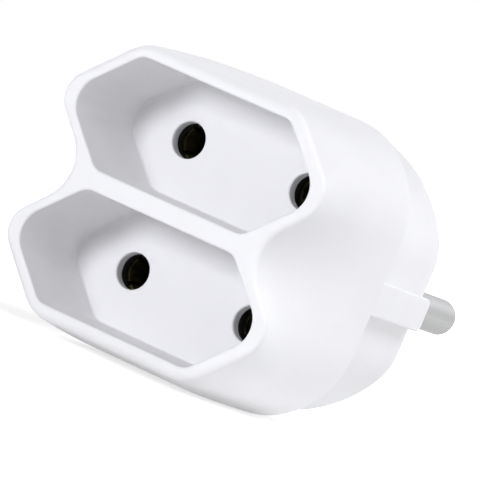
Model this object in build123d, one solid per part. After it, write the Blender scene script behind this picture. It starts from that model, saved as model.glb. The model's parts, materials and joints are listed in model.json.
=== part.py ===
from build123d import *
import os
from math import atan2, cos, degrees, pi, sin, tan

# A two-way adapter for flat two-pin plugs. Two hexagonal recesses sit one above the other on its
# front, and a round insert with two pins at its rear goes into a wall socket.
# Sizes are in mm. X runs across the pins, Y along them to the rear and Z up.
# The origin is on the insert's rear face, midway between the two pins.

os.makedirs("parts", exist_ok=True)

# Plug pins and round insert
PIN_SPACING = 19.0
PIN_DIAMETER = 4.8
PIN_LENGTH = 19.0
PIN_TIP_RADIUS = 1.7
INSERT_DIAMETER = 38.4
INSERT_FLAT_DEPTH = 1.7
INSERT_DEPTH = 15.9
INSERT_EDGE_RADIUS = 3.8
INSERT_CORNER_RADIUS = 8.0
INSERT_WALL = 2.2
END_WALL = 3.5
RIB_WIDTH = 4.5
RIB_HEIGHT = 1.5
RIB_LENGTH = 13.3
RIB_END_RADIUS = 0.9
RIB_EDGE_RADIUS = 0.3
EARTH_NOTCH_WIDTH = 9.0
EARTH_NOTCH_SPACING = 27.6
EARTH_NOTCH_RADIUS = 0.8
NOTCH_WALL = 1.6

# Hexagonal recesses
SOCKET_PITCH = 18.2
RECESS_HEIGHT = 15.55
RECESS_FLAT = 23.6
RECESS_POINT = 39.9
RECESS_DEPTH = 14.6
RECESS_DRAFT = 0.1
RECESS_TIP_RADIUS = 3.6
RECESS_CORNER_RADIUS = 2.5
RECESS_FLOOR_RADIUS = 0.3
ENTRY_DIAMETER = 4.84
ENTRY_EDGE_RADIUS = 0.25
FLOOR_THICKNESS = 1.45

# Housing
HOUSING_DEPTH = 25.6
RIM_WALL = 1.75
RIM_TIP_RADIUS = 3.6
RIM_CORNER_RADIUS = 5.5
WAIST_RADIUS = 5.1
REAR_WIDTH = 38.0
REAR_HEIGHT = 40.05
REAR_CORNER_RADIUS = 12.6
REAR_CORNER_FLAT = 0.4
FLANK_EASE = 3.4
VALLEY_EASE = 1.2
RIM_OUTER_RADIUS = 1.0
RIM_INNER_RADIUS = 0.35

# Joint between housing and insert
COLLAR_DEPTH = 3.7
COLLAR_STEP = 0.9
COLLAR_CLEARANCE = 0.1
CARRIER_LEDGE = 1.4
SNAP_HEIGHT = 0.5
SNAP_LENGTH = 1.4
SNAP_SETBACK = 1.0
SNAP_ARC = 24.0
SNAP_END_ARC = 1.0
SNAP_CLEARANCE = 0.1

# Contact carrier
CARRIER_CLEARANCE = 0.15
CARRIER_FLANGE = 1.4
CARRIER_FRONT_WALL = 1.3
CARRIER_ENTRY_DIAMETER = 5.2
CARRIER_CORE_WIDTH = 7.0
CARRIER_CORE_HEIGHT = 24.0
CARRIER_CORE_RADIUS = 1.0
CHIMNEY_WALL = 0.7
CHIMNEY_CLEARANCE = 0.2
CHIMNEY_LENGTH = 11.0

# Bars, pin heads and sleeve contacts
BAR_THICKNESS = 0.8
BAR_WIDTH = 5.8
PIN_SHANK_DIAMETER = 5.4
PIN_FLANGE_DIAMETER = 7.2
PIN_FLANGE_THICKNESS = 1.0
PIN_STUB_DIAMETER = 3.0
PIN_HEAD_DIAMETER = 4.6
PIN_HEAD_THICKNESS = 0.7
SLEEVE_DIAMETER = 5.0
SLEEVE_BORE = 4.1
SLEEVE_PINCH = 3.8
SLEEVE_PINCH_LENGTH = 3.2
SLEEVE_MOUTH = 4.7
SLEEVE_FLARE = 5.4
SLEEVE_FLARE_LENGTH = 1.8
SLEEVE_LIP = 0.5
SLEEVE_SETBACK = 0.5
SLEEVE_END_WALL = 1.7
SLEEVE_SLIT = 0.6
SLEEVE_SLIT_LENGTH = 12.0
STUB_DIAMETER = 2.2
STUB_HEAD_DIAMETER = 3.4
STUB_HEAD_THICKNESS = 0.5
RIVET_CLEARANCE = 0.02
POCKET_CLEARANCE = 0.2

# Places along the plug axis
SEAM_Y = -INSERT_DEPTH
FRONT_Y = SEAM_Y - HOUSING_DEPTH
FLOOR_Y = FRONT_Y + RECESS_DEPTH
CHAMBER_Y = FLOOR_Y + FLOOR_THICKNESS
COLLAR_Y = SEAM_Y - COLLAR_DEPTH
LEDGE_Y = COLLAR_Y - CARRIER_FLANGE
END_Y = -END_WALL
BAR_Y = END_Y - BAR_THICKNESS
POCKET_Y = CHAMBER_Y + CARRIER_CLEARANCE + CARRIER_FRONT_WALL
MOUTH_Y = POCKET_Y + SLEEVE_SETBACK
CHIMNEY_Y = COLLAR_Y + CHIMNEY_LENGTH

# Places across it
PIN_X = PIN_SPACING / 2
SOCKET_Z = SOCKET_PITCH / 2
INSERT_R = INSERT_DIAMETER / 2
INSERT_ACROSS_FLATS = INSERT_DIAMETER - 2 * INSERT_FLAT_DEPTH
INSERT_X = INSERT_ACROSS_FLATS / 2
COLLAR_DIAMETER = INSERT_DIAMETER - 2 * COLLAR_STEP
COLLAR_ACROSS_FLATS = INSERT_ACROSS_FLATS - 2 * COLLAR_STEP
SEAT_DIAMETER = COLLAR_DIAMETER + 2 * COLLAR_CLEARANCE
SEAT_ACROSS_FLATS = COLLAR_ACROSS_FLATS + 2 * COLLAR_CLEARANCE
CHIMNEY_BORE = SLEEVE_FLARE + 2 * CHIMNEY_CLEARANCE
CHIMNEY_DIAMETER = CHIMNEY_BORE + 2 * CHIMNEY_WALL
SLOPE = atan2(RECESS_HEIGHT, RECESS_POINT - RECESS_FLAT)
OVER = 1.0
ROUND_STEPS = 3
FLANK_PLACES = (0.1, 0.22, 0.38, 0.6, 1)


def station(y):
    """Upright plane across the plug axis, with its own y pointing up."""
    return Plane(origin=(0, y, 0), x_dir=(1, 0, 0), z_dir=(0, -1, 0))


def slab(sketch, y0, y1):
    """Upright sketch carried along the plug axis from y0 to y1."""
    return extrude(station(y1) * sketch, amount=y1 - y0)


def rod(x, z, y0, y1, diameter):
    """Round bar along the plug axis."""
    return slab(Pos(x, z) * Circle(diameter / 2), y0, y1)


def turned(points):
    """Solid turned about the plug axis from points of radius and y."""
    return revolve(make_face(Polyline(*points, close=True)), axis=Axis.Y)


def flatted(diameter, flats):
    """Circle with an upright flat on each side."""
    return Circle(diameter / 2) & Rectangle(flats, diameter)


def bend(corners, i):
    """Unit vectors from a corner to its neighbours, and half the angle between them."""
    here = Vector(*corners[i][:2])
    back = (Vector(*corners[i - 1][:2]) - here).normalized()
    ahead = (Vector(*corners[(i + 1) % len(corners)][:2]) - here).normalized()
    return back, ahead, atan2((back - ahead).length, (back + ahead).length)


def loop(corners, y):
    """Closed upright outline through corners of x, z and the length of side that each rounding takes."""
    ends = []
    for i, (x, z, reach) in enumerate(corners):
        back, ahead, half = bend(corners, i)
        here = Vector(x, z)
        drop = (back + ahead) * (reach / (2 * (1 + sin(half))))
        ends.append((here + back * reach, here + drop, here + ahead * reach, half))
    edges = []
    for i, (start, middle, end, half) in enumerate(ends):
        edges.append(Edge.make_line(ends[i - 1][2], start))
        if half < pi / 2 - 1e-5:
            edges.append(Edge.make_three_point_arc(start, middle, end))
        else:
            edges.append(Edge.make_line(start, end))
    return station(y) * Wire(edges)


def inset(corners, depth):
    """The same outline moved inwards, with its corners still rounded about the same centres."""
    moved = []
    for i, (x, z, reach) in enumerate(corners):
        back, ahead, half = bend(corners, i)
        side = 1 if back.cross(ahead).Z > 0 else -1
        way = (back + ahead).normalized() * (side * depth / sin(half))
        moved.append((x + way.X, z + way.Y, reach - side * depth / tan(half)))
    return moved


def between(first, last, part):
    """Outline a given part of the way from one outline to another."""
    return [tuple(a + (b - a) * part for a, b in zip(p, q)) for p, q in zip(first, last)]


def both_sides(top, tip, waist):
    """Corners of an outline that is the same on both sides, above and below."""
    right = [top, tip, waist, (tip[0], -tip[1], tip[2]), (top[0], -top[1], top[2])]
    return right + [(-x, z, reach) for x, z, reach in reversed(right)]


def hexagon(z):
    """Corners of a recess's outline at the rim."""
    half = RECESS_HEIGHT / 2
    corner = RECESS_CORNER_RADIUS * tan(SLOPE / 2)
    flat = RECESS_FLAT / 2
    point = RECESS_POINT / 2
    right = [(flat, z + half, corner), (point, z, RECESS_TIP_RADIUS / tan(SLOPE)), (flat, z - half, corner)]
    return right + [(-x, 2 * z - w, reach) for x, w, reach in right]


# Housing, from a double hexagon at the rim to a rounded square at the seam
waist_reach = WAIST_RADIUS / tan(SLOPE)
point_x = RECESS_POINT / 2 + RIM_WALL / sin(SLOPE)
rim_flat = RECESS_FLAT / 2 + RIM_WALL * tan(SLOPE / 2)
rim_top = SOCKET_Z + RECESS_HEIGHT / 2 + RIM_WALL
rim = both_sides(
    (rim_flat, rim_top, RIM_CORNER_RADIUS * tan(SLOPE / 2)),
    (point_x, SOCKET_Z, RIM_TIP_RADIUS / tan(SLOPE)),
    (point_x - SOCKET_Z / tan(SLOPE), 0, waist_reach),
)
corner_step = REAR_CORNER_RADIUS * tan(pi / 8)
corner_reach = corner_step - REAR_CORNER_FLAT / 2
seam = both_sides(
    (REAR_WIDTH / 2 - REAR_CORNER_RADIUS + corner_step, REAR_HEIGHT / 2, corner_reach),
    (REAR_WIDTH / 2, REAR_HEIGHT / 2 - REAR_CORNER_RADIUS + corner_step, corner_reach),
    (REAR_WIDTH / 2, 0, waist_reach * sin(SLOPE)),
)


def flank(back):
    """Corners of the housing's outline at a distance behind the rim, where the valleys fade last."""
    left = 1 - back / HOUSING_DEPTH
    bulge = between(rim, seam, 1 - left**FLANK_EASE)
    valley = between(rim, seam, 1 - left**VALLEY_EASE)
    return [v if v[1] == 0 else b for b, v in zip(bulge, valley)]


edge_sections = []
for step in range(ROUND_STEPS + 1):
    angle = pi / 2 * step / ROUND_STEPS
    back = RIM_OUTER_RADIUS * (1 - cos(angle))
    edge_sections.append(loop(inset(flank(back), RIM_OUTER_RADIUS * (1 - sin(angle))), FRONT_Y + back))
flank_sections = edge_sections[-1:]
for part in FLANK_PLACES:
    back = HOUSING_DEPTH * part
    flank_sections.append(loop(flank(back), FRONT_Y + back))
housing = Solid.make_loft(edge_sections) + Solid.make_loft(flank_sections)

recess_taper = degrees(atan2(RECESS_DRAFT, RECESS_DEPTH))
for z in (SOCKET_Z, -SOCKET_Z):
    mouth = make_face(loop(hexagon(z), FRONT_Y))
    recess = extrude(mouth, amount=RECESS_DEPTH, dir=(0, 1, 0), taper=recess_taper)
    housing -= fillet(recess.faces().sort_by(Axis.Y)[-1].edges(), RECESS_FLOOR_RADIUS)
front = housing.faces().sort_by(Axis.Y)[0]
housing = fillet([edge for wire in front.inner_wires() for edge in wire.edges()], RIM_INNER_RADIUS)

sockets = [(x, z) for z in (SOCKET_Z, -SOCKET_Z) for x in (-PIN_X, PIN_X)]


def chamber(gap):
    """Section of the chamber behind the recess floors, or of the carrier in it when a gap is given."""
    step = 2 * CARRIER_LEDGE + 2 * gap
    outline = flatted(SEAT_DIAMETER - step, SEAT_ACROSS_FLATS - step)
    for x, z in sockets:
        outline += Pos(x, z) * Circle(CHIMNEY_DIAMETER / 2 + CARRIER_CLEARANCE - gap)
    return outline


housing -= slab(chamber(0), CHAMBER_Y, SEAM_Y)
housing -= slab(flatted(SEAT_DIAMETER, SEAT_ACROSS_FLATS), LEDGE_Y, SEAM_Y)
for x, z in sockets:
    housing -= rod(x, z, FLOOR_Y - OVER, CHAMBER_Y + OVER, ENTRY_DIAMETER)
rounds = housing.edges().filter_by(GeomType.CIRCLE).filter_by_position(Axis.Y, FLOOR_Y, FLOOR_Y)
housing = fillet([edge for edge in rounds if edge.is_closed], ENTRY_EDGE_RADIUS)


def snaps(gap, end_gap):
    """Four ridges around the collar, or the grooves for them when a gap is given."""
    low = COLLAR_Y + SNAP_SETBACK - gap
    high = low + SNAP_LENGTH + 2 * gap
    face = COLLAR_DIAMETER / 2
    root = face - SNAP_HEIGHT
    peak = face + SNAP_HEIGHT + gap
    ridge = [(root, low), (face, low), (peak, (low + high) / 2), (face, high), (root, high)]
    arc = SNAP_ARC + 2 * end_gap
    one = revolve(make_face(Polyline(*ridge, close=True)), axis=Axis.Y, revolution_arc=arc)
    return [Rot(0, turn - arc / 2, 0) * one for turn in (45, 135, 225, 315)]


for groove in snaps(SNAP_CLEARANCE, SNAP_END_ARC):
    housing -= groove


# Insert, a cup with two flats, a guide rib on each and a collar that goes into the housing
def insert_hollow():
    """Section of the insert's hollow, which leaves a wall behind each earth notch."""
    hollow = flatted(INSERT_DIAMETER - 2 * INSERT_WALL, INSERT_ACROSS_FLATS - 2 * INSERT_WALL)
    for side in (1, -1):
        back = EARTH_NOTCH_SPACING / 2 - NOTCH_WALL + INSERT_R / 2
        hollow -= Pos(0, side * back) * Rectangle(EARTH_NOTCH_WIDTH + 2 * NOTCH_WALL, INSERT_R)
    return hollow


insert_outline = flatted(INSERT_DIAMETER, INSERT_ACROSS_FLATS)
insert_outline = fillet(insert_outline.vertices(), INSERT_CORNER_RADIUS)
plug_base = slab(insert_outline, SEAM_Y, 0)
plug_base = fillet(plug_base.faces().sort_by(Axis.Y)[-1].edges(), INSERT_EDGE_RADIUS)
plug_base += slab(flatted(COLLAR_DIAMETER, COLLAR_ACROSS_FLATS), COLLAR_Y, SEAM_Y)
for ridge in snaps(0, 0):
    plug_base += ridge
for side in (1, -1):
    rib_low = INSERT_X - INSERT_WALL / 2
    rib_high = INSERT_X + RIB_HEIGHT
    middle = Pos(side * (rib_low + rib_high) / 2, SEAM_Y + RIB_LENGTH / 2, 0)
    rib = middle * Box(rib_high - rib_low, RIB_LENGTH, RIB_WIDTH)
    rib = fillet(rib.edges().filter_by(Axis.X).group_by(Axis.Y)[-1], RIB_END_RADIUS)
    crown = rib.faces().sort_by(Axis.X)[-1 if side > 0 else 0]
    rib = fillet(crown.edges().sort_by(Axis.Y)[1:], RIB_EDGE_RADIUS)
    plug_base += rib
    notch_tall = 2 * (INSERT_R - EARTH_NOTCH_SPACING / 2)
    notch_z = side * (EARTH_NOTCH_SPACING / 2 + notch_tall / 2)
    notch = Pos(0, notch_z) * RectangleRounded(EARTH_NOTCH_WIDTH, notch_tall, EARTH_NOTCH_RADIUS)
    plug_base -= slab(notch, SEAM_Y, OVER)
plug_base -= slab(insert_hollow(), COLLAR_Y, END_Y)
for x in (-PIN_X, PIN_X):
    well = SlotCenterToCenter(SOCKET_PITCH, CHIMNEY_DIAMETER + 2 * POCKET_CLEARANCE)
    plug_base -= slab(Pos(x, 0) * Rot(0, 0, 90) * well, COLLAR_Y, END_Y)
pin_bore = PIN_SHANK_DIAMETER + 2 * RIVET_CLEARANCE
for x in (-PIN_X, PIN_X):
    plug_base -= rod(x, 0, END_Y, OVER, pin_bore)
    flange_pocket = PIN_FLANGE_DIAMETER + 2 * POCKET_CLEARANCE
    plug_base -= rod(x, 0, END_Y, END_Y + PIN_FLANGE_THICKNESS, flange_pocket)
for x, z in sockets:
    deep = STUB_HEAD_THICKNESS + POCKET_CLEARANCE
    plug_base -= rod(x, z, END_Y, END_Y + deep, STUB_HEAD_DIAMETER + 2 * POCKET_CLEARANCE)

# Dark carrier behind the recess floors, held at its flange between housing and insert
carrier = slab(chamber(CARRIER_CLEARANCE), CHAMBER_Y + CARRIER_CLEARANCE, LEDGE_Y)
loose = 2 * CARRIER_CLEARANCE
flange = flatted(SEAT_DIAMETER - loose, SEAT_ACROSS_FLATS - loose)
carrier += slab(flange, LEDGE_Y, COLLAR_Y)
for x, z in sockets:
    carrier += rod(x, z, LEDGE_Y, CHIMNEY_Y, CHIMNEY_DIAMETER)
core = RectangleRounded(CARRIER_CORE_WIDTH, CARRIER_CORE_HEIGHT, CARRIER_CORE_RADIUS)
carrier -= slab(core, POCKET_Y, COLLAR_Y)
for x, z in sockets:
    carrier -= rod(x, z, POCKET_Y, CHIMNEY_Y, CHIMNEY_BORE)
    carrier -= rod(x, z, CHAMBER_Y, POCKET_Y, CARRIER_ENTRY_DIAMETER)

# Plug pin, with a thicker shank in the insert's end wall, riveted through its bar
shoulder_y = END_Y + PIN_FLANGE_THICKNESS
head_y = BAR_Y - PIN_HEAD_THICKNESS
pin_outline = [
    (0, head_y),
    (PIN_HEAD_DIAMETER / 2, head_y),
    (PIN_HEAD_DIAMETER / 2, BAR_Y),
    (PIN_STUB_DIAMETER / 2, BAR_Y),
    (PIN_STUB_DIAMETER / 2, END_Y),
    (PIN_FLANGE_DIAMETER / 2, END_Y),
    (PIN_FLANGE_DIAMETER / 2, shoulder_y),
    (PIN_SHANK_DIAMETER / 2, shoulder_y),
    (PIN_SHANK_DIAMETER / 2, 0),
    (PIN_DIAMETER / 2, 0),
    (PIN_DIAMETER / 2, PIN_LENGTH),
    (0, PIN_LENGTH),
]
pin = turned(pin_outline)
pin = fillet(pin.edges().filter_by(GeomType.CIRCLE).group_by(Axis.Y)[-1], PIN_TIP_RADIUS)

# Bar that joins a pin to its upper and lower contact
bar_outline = Rot(0, 0, 90) * SlotCenterToCenter(SOCKET_PITCH, BAR_WIDTH)
bar = slab(bar_outline, BAR_Y, END_Y)
bar -= rod(0, 0, BAR_Y, END_Y, PIN_STUB_DIAMETER + 2 * RIVET_CLEARANCE)
for z in (SOCKET_Z, -SOCKET_Z):
    bar -= rod(0, z, BAR_Y, END_Y, STUB_DIAMETER + 2 * RIVET_CLEARANCE)

# Sleeve contact, split into four fingers and riveted to its bar
sleeve_outline = [
    (0, BAR_Y - SLEEVE_END_WALL),
    (SLEEVE_BORE / 2, BAR_Y - SLEEVE_END_WALL),
    (SLEEVE_BORE / 2, MOUTH_Y + SLEEVE_FLARE_LENGTH + 2 * SLEEVE_PINCH_LENGTH),
    (SLEEVE_PINCH / 2, MOUTH_Y + SLEEVE_FLARE_LENGTH + SLEEVE_PINCH_LENGTH),
    (SLEEVE_PINCH / 2, MOUTH_Y + SLEEVE_FLARE_LENGTH),
    (SLEEVE_MOUTH / 2, MOUTH_Y),
    (SLEEVE_FLARE / 2, MOUTH_Y),
    (SLEEVE_FLARE / 2, MOUTH_Y + SLEEVE_LIP),
    (SLEEVE_DIAMETER / 2, MOUTH_Y + SLEEVE_FLARE_LENGTH),
    (SLEEVE_DIAMETER / 2, BAR_Y),
    (STUB_DIAMETER / 2, BAR_Y),
    (STUB_DIAMETER / 2, END_Y),
    (STUB_HEAD_DIAMETER / 2, END_Y),
    (STUB_HEAD_DIAMETER / 2, END_Y + STUB_HEAD_THICKNESS),
    (0, END_Y + STUB_HEAD_THICKNESS),
]
sleeve = turned(sleeve_outline)
slit_y = MOUTH_Y + SLEEVE_SLIT_LENGTH / 2
slit = Box(SLEEVE_FLARE + OVER, SLEEVE_SLIT_LENGTH, SLEEVE_SLIT)
for turn in (45, 135):
    sleeve -= Pos(0, slit_y, 0) * Rot(0, turn, 0) * slit

nodes = {"socket_housing": housing, "plug_base": plug_base, "contact_carrier": carrier}
for name, x in (("left", -PIN_X), ("right", PIN_X)):
    nodes[name + "_pin"] = Pos(x, 0, 0) * pin
    nodes[name + "_bus_bar"] = Pos(x, 0, 0) * bar
    nodes["upper_" + name + "_contact"] = Pos(x, 0, SOCKET_Z) * sleeve
    nodes["lower_" + name + "_contact"] = Pos(x, 0, -SOCKET_Z) * sleeve
for name, shape in nodes.items():
    export_step(shape, "parts/" + name + ".step")
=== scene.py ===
import json
import math
from typing import NamedTuple

import bmesh
import bpy
from mathutils import Matrix, Vector


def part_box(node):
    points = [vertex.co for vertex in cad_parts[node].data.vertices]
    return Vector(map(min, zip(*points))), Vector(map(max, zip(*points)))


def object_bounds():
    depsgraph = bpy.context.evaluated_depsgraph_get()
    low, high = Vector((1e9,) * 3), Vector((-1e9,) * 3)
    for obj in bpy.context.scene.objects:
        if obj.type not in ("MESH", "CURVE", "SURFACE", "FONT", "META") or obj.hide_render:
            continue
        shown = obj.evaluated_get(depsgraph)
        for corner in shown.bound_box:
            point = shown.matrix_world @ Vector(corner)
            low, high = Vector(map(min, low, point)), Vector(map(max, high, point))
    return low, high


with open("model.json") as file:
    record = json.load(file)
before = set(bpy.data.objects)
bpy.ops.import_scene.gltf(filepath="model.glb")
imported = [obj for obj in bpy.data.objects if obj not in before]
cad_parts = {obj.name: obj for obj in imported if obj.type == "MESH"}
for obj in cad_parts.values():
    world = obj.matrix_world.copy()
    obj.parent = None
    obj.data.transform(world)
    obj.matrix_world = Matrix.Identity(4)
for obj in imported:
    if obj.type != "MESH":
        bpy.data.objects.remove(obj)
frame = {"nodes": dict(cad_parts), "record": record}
CAD_BOX = [list(corner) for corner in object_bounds()]

bl_info = {
    "name": "Socket Adapter Studio",
    "version": (1, 0, 0),
    "blender": (4, 5, 0),
    "location": "View3D > Sidebar > Adapter",
    "description": "Finishes a two-way plug adapter and sets it on a pale studio floor",
    "category": "Object",
}

MM = 0.001
RECORD_COLOURS = {row["slot"]: row["base_color"] for row in frame["record"]["materials"]}
RIM_CENTRE = Vector((0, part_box("socket_housing")[0].y, 0))
WHITE = (1, 1, 1)
CLIP_NEAR, CLIP_FAR = 0.01, 50  # metres from the camera

# The floor's own middle lies under the housing. Its edges are this many metres away.
FLOOR_SPOT = Vector((0, RIM_CENTRE.y / 2, CAD_BOX[0][2]))
FLOOR_REACH = 6
FLOOR_ROUGHNESS = 0.9

# Most values of a noise texture lie between these two.
NOISE_LOW, NOISE_HIGH = 0.3, 0.7
# Lines along the plug axis are noise whose frequency is cut to a small share that way.
RUBBED_LINES = (1, 0.05, 1)
DRAWN_LINES = (1, 0.03, 1)
# A wave texture of scale 1 turns through this many radians in each unit of length.
WAVE_RATE = 20
RING_WOBBLE = 1.5


class LampPlace(NamedTuple):
    """Where a lamp stands: degrees round and up from the front, and metres away and wide."""

    azimuth: float
    elevation: float
    distance: float
    width: float


FRONT_LAMP = LampPlace(azimuth=-7.5, elevation=7.8, distance=0.9, width=0.2)
SOFT_BOX = LampPlace(azimuth=38, elevation=43, distance=1.0, width=1.0)
HIGH_SIDE_LAMP = LampPlace(azimuth=130, elevation=52, distance=0.7, width=0.4)
LOW_SIDE_LAMP = LampPlace(azimuth=100, elevation=8, distance=0.7, width=0.3)
REAR_LAMP = LampPlace(azimuth=238, elevation=24, distance=0.8, width=0.4)


def colour_property(name, description, colour):
    """A colour that the sidebar shows as a swatch."""
    return bpy.props.FloatVectorProperty(
        name=name, description=description, default=colour, size=3, subtype="COLOR", min=0, max=1
    )


def share_property(name, description, share):
    """A share between nothing and all."""
    return bpy.props.FloatProperty(
        name=name, description=description, default=share, subtype="FACTOR", min=0, max=1
    )


def length_property(name, description, metres):
    """A length in the scene's units."""
    return bpy.props.FloatProperty(
        name=name, description=description, default=metres,
        subtype="DISTANCE", unit="LENGTH", precision=5,
    )


def angle_property(name, description, degrees):
    """An angle, kept in radians."""
    return bpy.props.FloatProperty(
        name=name, description=description, default=math.radians(degrees),
        subtype="ANGLE", unit="ROTATION",
    )


def power_property(name, description, watts):
    """The power of a lamp."""
    return bpy.props.FloatProperty(
        name=name, description=description, default=watts, unit="POWER", min=0
    )


class WhitePlasticLook(bpy.types.PropertyGroup):
    """The white plastic of the housing and the insert"""

    colour: colour_property("Colour", "White of the moulding", (0.866, 0.864, 0.874))
    cloud: share_property("Clouding", "How far the white drifts where the melt flowed", 0.02)
    housing_cloud: length_property("Housing clouds", "Width of the clouds in the housing", 9 * MM)
    insert_cloud: length_property("Insert clouds", "Width of the clouds in the insert", 6 * MM)
    gloss_low: share_property("Roughness low", "Roughness of the smoothest spots", 0.5)
    gloss_high: share_property("Roughness high", "Roughness of the dullest spots", 0.62)
    shine: share_property("Shine", "Strength of the mirrored light", 0.16)
    grain: length_property("Grain", "Width of the mould's grain", 0.16 * MM)
    grain_depth: length_property("Grain depth", "Height of the mould's grain", 0.002 * MM)
    glow: share_property("Translucency", "Light that spreads under the surface", 0.06)
    glow_reach: length_property("Translucency reach", "How far that light spreads", 1.2 * MM)


class DarkPlasticLook(bpy.types.PropertyGroup):
    """The dark plastic of the contact carrier"""

    colour: colour_property("Colour", "Dark tone of the carrier", RECORD_COLOURS["dark_plastic"])
    mottle: share_property("Mottling", "How far the tone drifts", 0.25)
    gloss_low: share_property("Roughness low", "Roughness of the smoothest spots", 0.49)
    gloss_high: share_property("Roughness high", "Roughness of the dullest spots", 0.61)
    grain: length_property("Grain", "Width of the mould's grain", 0.2 * MM)
    grain_depth: length_property("Grain depth", "Height of the mould's grain", 0.004 * MM)


class PlatingLook(bpy.types.PropertyGroup):
    """The plated pins"""

    colour: colour_property("Colour", "Colour of the plating", (0.395, 0.395, 0.395))
    rub: share_property("Rubbing", "How far the colour drifts where the pin is rubbed", 0.03)
    gloss_low: share_property("Roughness low", "Roughness of the smoothest lines", 0.5)
    gloss_high: share_property("Roughness high", "Roughness of the dullest lines", 0.56)
    turning: length_property("Turning marks", "Spacing of the tool marks round a pin", 0.754 * MM)
    turning_depth: length_property("Turning depth", "Height of the tool marks", 0.0008 * MM)
    scratch: length_property("Scratches", "Width of the rubbed lines along a pin", 0.05 * MM)
    scratch_depth: length_property("Scratch depth", "Height of the rubbed lines", 0.0001 * MM)


class BrassLook(bpy.types.PropertyGroup):
    """The brass bars and contacts"""

    colour: colour_property("Colour", "Colour of clean brass", RECORD_COLOURS["brass"])
    # The film's colour is painted shade: it keeps the brass contacts near black inside the socket
    # holes.
    painted_shade: colour_property("Tarnish", "Colour of the film on the brass", (0.035, 0.04, 0.025))
    bare: share_property("Bare brass", "Brass that shows where the film is thin", 0.12)
    spot: length_property("Spots", "Width of the thin spots in the film", 1.4 * MM)
    gloss_low: share_property("Roughness low", "Roughness of the smoothest lines", 0.5)
    gloss_high: share_property("Roughness high", "Roughness of the dullest lines", 0.64)
    line: length_property("Drawing lines", "Width of the lines along the metal", 0.1 * MM)
    line_depth: length_property("Line depth", "Height of those lines", 0.0012 * MM)


class StageLook(bpy.types.PropertyGroup):
    """Floor, lamps and camera"""

    floor: colour_property("Floor", "Colour of the floor", (0.86, 0.86, 0.86))
    near_white: share_property("Near white", "Glow of the floor near the adapter, to look at", 0.5)
    far_white: share_property("Far white", "Glow that keeps the open floor white to look at", 1.0)
    near: length_property("Near", "Where the floor's glow starts to rise", 45 * MM)
    far: length_property("Far", "Where the floor is white all over", 160 * MM)
    bounce: share_property("Bounce", "Light that the floor adds from under the housing", 0.17)
    bounce_full: length_property("Bounce full", "How far out that light stays at its full", 14 * MM)
    bounce_end: length_property("Bounce end", "How far out that light ends", 42 * MM)
    ambient: share_property("Surroundings", "Light from all sides", 0.02)
    front: power_property("Front lamp", "Power of the lamp that looks into the recesses", 4.2)
    key: power_property("Soft box", "Power of the wide lamp above the front right", 4.2)
    side_high: power_property("High side lamp", "Power of the lamp above the rear right", 2.95)
    side_low: power_property("Low side lamp", "Power of the lamp at the right", 1.1)
    rear: power_property("Rear lamp", "Power of the lamp behind, at the left", 2.2)
    tint: colour_property("Tint", "Light of the front lamp and high side lamp", (0.945, 0.953, 1.0))
    azimuth: angle_property("Azimuth", "Camera's turn round the adapter from its front", 31.3)
    elevation: angle_property("Elevation", "Camera's height above the level", 1.84)
    roll: angle_property("Roll", "Tilt of the picture", 23.15)
    distance: length_property("Distance", "From the rim to the camera", 1.0)
    lens: bpy.props.FloatProperty(
        name="Lens", description="Focal length", default=597.2, unit="CAMERA", min=1
    )
    aim: bpy.props.FloatVectorProperty(
        name="Aim", description="Point at the middle of the picture",
        default=(8.84 * MM, -36.11 * MM, 0.485 * MM), subtype="TRANSLATION", unit="LENGTH",
    )


LOOKS = {
    "adapter_white": WhitePlasticLook,
    "adapter_dark": DarkPlasticLook,
    "adapter_plating": PlatingLook,
    "adapter_brass": BrassLook,
    "adapter_stage": StageLook,
}


class Shading:
    """A material's nodes, built from the object's own coordinates in metres."""

    def __init__(self, name):
        self.material = bpy.data.materials.new(name)
        self.material.use_nodes = True
        self.tree = self.material.node_tree
        self.tree.nodes.clear()
        self.place = self.node("ShaderNodeTexCoord").outputs["Object"]

    def node(self, kind, settings=(), **sockets):
        """A node with its settings, and with a value or a link on each named socket."""
        made = self.tree.nodes.new(kind)
        for key, value in dict(settings).items():
            setattr(made, key, value)
        for key, value in sockets.items():
            socket = made.inputs[key.replace("_", " ")]
            if isinstance(value, bpy.types.NodeSocket):
                self.tree.links.new(value, socket)
            else:
                socket.default_value = value
        return made

    def noise(self, width, detail=2.0, stretch=None):
        """Soft noise whose spots are about a given width, in metres."""
        place = self.place
        if stretch:
            place = self.node("ShaderNodeMapping", Vector=place, Scale=stretch).outputs["Vector"]
        made = self.node("ShaderNodeTexNoise", Vector=place, Scale=1 / width, Detail=detail)
        return made.outputs["Fac"]

    def spread(self, value, low, high):
        """Noise turned into a range of values."""
        made = self.node(
            "ShaderNodeMapRange", Value=value,
            From_Min=NOISE_LOW, From_Max=NOISE_HIGH, To_Min=low, To_Max=high,
        )
        return made.outputs["Result"]

    def tint(self, value, first, last):
        """Noise turned into a drift between two colours."""
        ramp = self.node("ShaderNodeValToRGB", Fac=value)
        low, high = ramp.color_ramp.elements
        low.position, high.position = NOISE_LOW, NOISE_HIGH
        low.color, high.color = (*first, 1), (*last, 1)
        return ramp.outputs["Color"]

    def bump(self, height, depth, under=None):
        """Fine relief, on top of an earlier one where given."""
        sockets = {"Height": height, "Distance": depth, "Strength": 1.0}
        if under:
            sockets["Normal"] = under
        return self.node("ShaderNodeBump", **sockets).outputs["Normal"]

    def surface(self, **sockets):
        """The finished surface."""
        skin = self.node("ShaderNodeBsdfPrincipled", **sockets)
        self.node("ShaderNodeOutputMaterial", Surface=skin.outputs["BSDF"])
        return self.material


def shaded(colour, share):
    """A colour made darker by a share."""
    return tuple(part * (1 - share) for part in colour)


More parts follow.
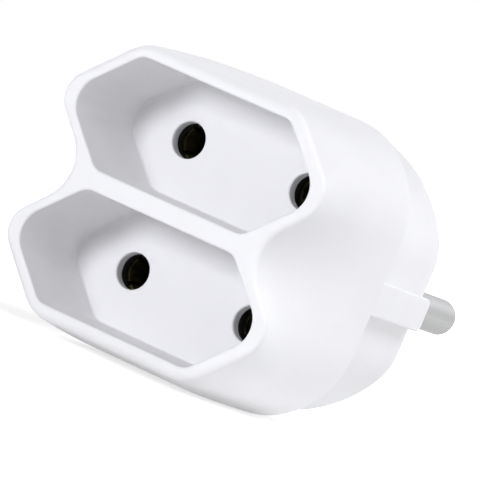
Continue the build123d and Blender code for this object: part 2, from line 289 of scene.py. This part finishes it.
def moulded_white(name, look, cloud_width):
    """White moulding: faint flow clouds, and a fine mould grain in its relief and gloss."""
    shading = Shading(name)
    colour = tuple(look.colour)
    clouds = shading.noise(cloud_width, detail=3.0)
    grain = shading.noise(look.grain, detail=1.0)
    return shading.surface(
        Base_Color=shading.tint(clouds, shaded(colour, look.cloud), colour),
        Roughness=shading.spread(grain, look.gloss_low, look.gloss_high),
        Specular_IOR_Level=look.shine,
        Normal=shading.bump(grain, look.grain_depth),
        Subsurface_Weight=look.glow,
        Subsurface_Radius=(1, 1, 1),  # all colours spread alike
        Subsurface_Scale=look.glow_reach,
    )


def moulded_dark(name, look):
    """Dark insulating plastic with a dull grain."""
    shading = Shading(name)
    colour = tuple(look.colour)
    grain = shading.noise(look.grain)
    return shading.surface(
        Base_Color=shading.tint(grain, shaded(colour, look.mottle), colour),
        Roughness=shading.spread(grain, look.gloss_low, look.gloss_high),
        Normal=shading.bump(grain, look.grain_depth),
    )


def plated_metal(name, look):
    """Nickel plating over a turned pin: tool marks round it, and rubbed lines along it."""
    shading = Shading(name)
    colour = tuple(look.colour)
    rings = shading.node(
        "ShaderNodeTexWave", {"bands_direction": "Y"}, Vector=shading.place,
        Scale=math.tau / (WAVE_RATE * look.turning), Distortion=RING_WOBBLE, Detail=2.0,
    )
    rubbed = shading.noise(look.scratch, stretch=RUBBED_LINES)
    marks = shading.bump(rings.outputs["Fac"], look.turning_depth)
    return shading.surface(
        Base_Color=shading.tint(rubbed, shaded(colour, look.rub), colour),
        Metallic=1.0,
        Roughness=shading.spread(rubbed, look.gloss_low, look.gloss_high),
        Normal=shading.bump(rubbed, look.scratch_depth, marks),
    )


def drawn_brass(name, look):
    """Brass drawn along the plug axis, under a near-black film of painted shade that is thin in
    spots.
    """
    shading = Shading(name)
    # The film is painted shade over the whole brass. Its thin spots let some brass colour through.
    film = tuple(look.painted_shade)
    bare = tuple(dark + look.bare * (metal - dark) for dark, metal in zip(film, look.colour))
    lines = shading.noise(look.line, stretch=DRAWN_LINES)
    spots = shading.noise(look.spot, detail=4.0)
    return shading.surface(
        Base_Color=shading.tint(spots, film, bare),
        Metallic=1.0,
        Roughness=shading.spread(lines, look.gloss_low, look.gloss_high),
        Normal=shading.bump(lines, look.line_depth),
    )


def dress(material, *names):
    """Gives a finish to nodes of the frame."""
    for name in names:
        node = frame["nodes"][name]
        if not node.material_slots:
            node.data.materials.append(material)
        for slot in node.material_slots:
            slot.material = material


class ADAPTER_OT_housing(bpy.types.Operator):
    """Finish the white socket housing"""

    bl_idname = "adapter.housing"
    bl_label = "Socket housing"

    def execute(self, context):
        look = context.scene.adapter_white
        dress(moulded_white("satin_white_housing", look, look.housing_cloud), "socket_housing")
        return {"FINISHED"}


class ADAPTER_OT_insert(bpy.types.Operator):
    """Finish the round plug insert"""

    bl_idname = "adapter.insert"
    bl_label = "Plug insert"

    def execute(self, context):
        look = context.scene.adapter_white
        dress(moulded_white("satin_white_insert", look, look.insert_cloud), "plug_base")
        return {"FINISHED"}


class ADAPTER_OT_carrier(bpy.types.Operator):
    """Finish the dark contact carrier"""

    bl_idname = "adapter.carrier"
    bl_label = "Contact carrier"

    def execute(self, context):
        dress(moulded_dark("dull_dark_carrier", context.scene.adapter_dark), "contact_carrier")
        return {"FINISHED"}


class ADAPTER_OT_pins(bpy.types.Operator):
    """Finish the two plug pins"""

    bl_idname = "adapter.pins"
    bl_label = "Plug pins"

    def execute(self, context):
        plating = plated_metal("turned_plated_pin", context.scene.adapter_plating)
        dress(plating, "left_pin", "right_pin")
        return {"FINISHED"}


class ADAPTER_OT_contacts(bpy.types.Operator):
    """Finish the brass bars and sleeve contacts"""

    bl_idname = "adapter.contacts"
    bl_label = "Bars and contacts"

    def execute(self, context):
        brass = drawn_brass("drawn_brass_contact", context.scene.adapter_brass)
        dress(brass, *[name for name in frame["nodes"] if name.endswith(("_bus_bar", "_contact"))])
        return {"FINISHED"}


def seen_ray(tree):
    """One for rays that look, also by gloss or through glass, and nothing for those that light."""
    path = tree.nodes.new("ShaderNodeLightPath")
    either = path.outputs["Is Camera Ray"]
    for name in ("Is Glossy Ray", "Is Transmission Ray"):
        larger = tree.nodes.new("ShaderNodeMath")
        larger.operation = "MAXIMUM"
        tree.links.new(either, larger.inputs[0])
        tree.links.new(path.outputs[name], larger.inputs[1])
        either = larger.outputs["Value"]
    return either


def surroundings(context, look):
    """A world that is white to look at, and lights the adapter softly from all sides."""
    world = bpy.data.worlds.new("pale_surroundings")
    world.use_nodes = True
    context.scene.world = world
    tree = world.node_tree
    tree.nodes.clear()
    soft, white = (tree.nodes.new("ShaderNodeBackground") for _ in range(2))
    for light in (soft, white):
        light.inputs["Color"].default_value = (*WHITE, 1)
    soft.inputs["Strength"].default_value = look.ambient
    mix = tree.nodes.new("ShaderNodeMixShader")
    tree.links.new(seen_ray(tree), mix.inputs["Fac"])
    tree.links.new(soft.outputs["Background"], mix.inputs[1])
    tree.links.new(white.outputs["Background"], mix.inputs[2])
    output = tree.nodes.new("ShaderNodeOutputWorld")
    tree.links.new(mix.outputs["Shader"], output.inputs["Surface"])


def floor_paint(look):
    """White paint. Its glow leaves only the shadow to see, and lights the underside a little."""
    shading = Shading("pale_floor")
    out = shading.node("ShaderNodeVectorMath", {"operation": "LENGTH"}, Vector=shading.place)
    looked_at = shading.node(
        "ShaderNodeMapRange", Value=out.outputs["Value"],
        From_Min=look.near, From_Max=look.far, To_Min=look.near_white, To_Max=look.far_white,
    )
    from_below = shading.node(
        "ShaderNodeMapRange", Value=out.outputs["Value"],
        From_Min=look.bounce_full, From_Max=look.bounce_end, To_Min=look.bounce, To_Max=0.0,
    )
    strength = shading.node(
        "ShaderNodeMapRange", Value=seen_ray(shading.tree),
        To_Min=from_below.outputs["Result"], To_Max=looked_at.outputs["Result"],
    )
    paint = shading.node(
        "ShaderNodeBsdfPrincipled", Base_Color=(*look.floor, 1),
        Roughness=FLOOR_ROUGHNESS, Specular_IOR_Level=0.0,
    )
    glow = shading.node(
        "ShaderNodeEmission", Color=(*WHITE, 1), Strength=strength.outputs["Result"]
    )
    both = shading.node("ShaderNodeAddShader")
    shading.tree.links.new(paint.outputs["BSDF"], both.inputs[0])
    shading.tree.links.new(glow.outputs["Emission"], both.inputs[1])
    shading.node("ShaderNodeOutputMaterial", Surface=both.outputs["Shader"])
    return shading.material


def pale_floor(context, look):
    """A wide floor under the adapter."""
    form = bmesh.new()
    bmesh.ops.create_grid(form, x_segments=2, y_segments=2, size=FLOOR_REACH)
    mesh = bpy.data.meshes.new("floor")
    form.to_mesh(mesh)
    form.free()
    mesh.materials.append(floor_paint(look))
    floor = bpy.data.objects.new("floor", mesh)
    floor.location = FLOOR_SPOT
    context.scene.collection.objects.link(floor)


def way(azimuth, elevation):
    """Direction from the adapter, with azimuth 0 at its front and 90 degrees at its right."""
    level = math.cos(elevation)
    return Vector((math.sin(azimuth) * level, -math.cos(azimuth) * level, math.sin(elevation)))


def lamp(context, name, power, place, colour=WHITE):
    """A square soft lamp that faces the adapter."""
    data = bpy.data.lights.new(name, "AREA")
    data.energy = power
    data.color = colour
    data.size = place.width
    made = bpy.data.objects.new(name, data)
    towards = way(math.radians(place.azimuth), math.radians(place.elevation))
    middle = (Vector(CAD_BOX[0]) + Vector(CAD_BOX[1])) / 2
    made.location = middle + towards * place.distance
    made.rotation_euler = towards.to_track_quat("Z", "Y").to_euler()
    context.scene.collection.objects.link(made)


def photo_camera(context, look):
    """A long lens at the photograph's angle, with the picture rolled."""
    data = bpy.data.cameras.new("photo_camera")
    data.lens = look.lens
    data.clip_start, data.clip_end = CLIP_NEAR, CLIP_FAR
    camera = bpy.data.objects.new("photo_camera", data)
    camera.location = RIM_CENTRE + way(look.azimuth, look.elevation) * look.distance
    gaze = (camera.location - Vector(look.aim)).to_track_quat("Z", "Y")
    roll = Matrix.Rotation(look.roll, 3, "Z").to_quaternion()
    camera.rotation_euler = (gaze @ roll).to_euler()
    context.scene.collection.objects.link(camera)
    context.scene.camera = camera


class ADAPTER_OT_stage(bpy.types.Operator):
    """Set the floor, the surroundings, the lamps and the camera"""

    bl_idname = "adapter.stage"
    bl_label = "Stage"

    def execute(self, context):
        look = context.scene.adapter_stage
        context.scene.view_settings.view_transform = "Standard"
        surroundings(context, look)
        pale_floor(context, look)
        lamp(context, "front_lamp", look.front, FRONT_LAMP, look.tint)
        lamp(context, "soft_box", look.key, SOFT_BOX)
        lamp(context, "high_side_lamp", look.side_high, HIGH_SIDE_LAMP, look.tint)
        lamp(context, "low_side_lamp", look.side_low, LOW_SIDE_LAMP)
        lamp(context, "rear_lamp", look.rear, REAR_LAMP)
        photo_camera(context, look)
        return {"FINISHED"}


STEPS = (
    ADAPTER_OT_housing,
    ADAPTER_OT_insert,
    ADAPTER_OT_carrier,
    ADAPTER_OT_pins,
    ADAPTER_OT_contacts,
    ADAPTER_OT_stage,
)


class ADAPTER_PT_studio(bpy.types.Panel):
    """Lists the adapter's pieces and their looks"""

    bl_idname = "ADAPTER_PT_studio"
    bl_label = "Adapter"
    bl_space_type = "VIEW_3D"
    bl_region_type = "UI"
    bl_category = "Adapter"

    def draw(self, context):
        column = self.layout.column(align=True)
        for step in STEPS:
            column.operator(step.bl_idname)
        for name, look in LOOKS.items():
            box = self.layout.box()
            box.label(text=look.__doc__)
            for key in look.__annotations__:
                box.prop(getattr(context.scene, name), key)


CLASSES = (*LOOKS.values(), *STEPS, ADAPTER_PT_studio)


def register():
    for item in CLASSES:
        bpy.utils.register_class(item)
    for name, look in LOOKS.items():
        setattr(bpy.types.Scene, name, bpy.props.PointerProperty(type=look))


def unregister():
    for name in LOOKS:
        delattr(bpy.types.Scene, name)
    for item in reversed(CLASSES):
        bpy.utils.unregister_class(item)


def main():
    register()
    bpy.ops.adapter.housing()
    bpy.ops.adapter.insert()
    bpy.ops.adapter.carrier()
    bpy.ops.adapter.pins()
    bpy.ops.adapter.contacts()
    bpy.ops.adapter.stage()


if __name__ == "__main__":
    main()
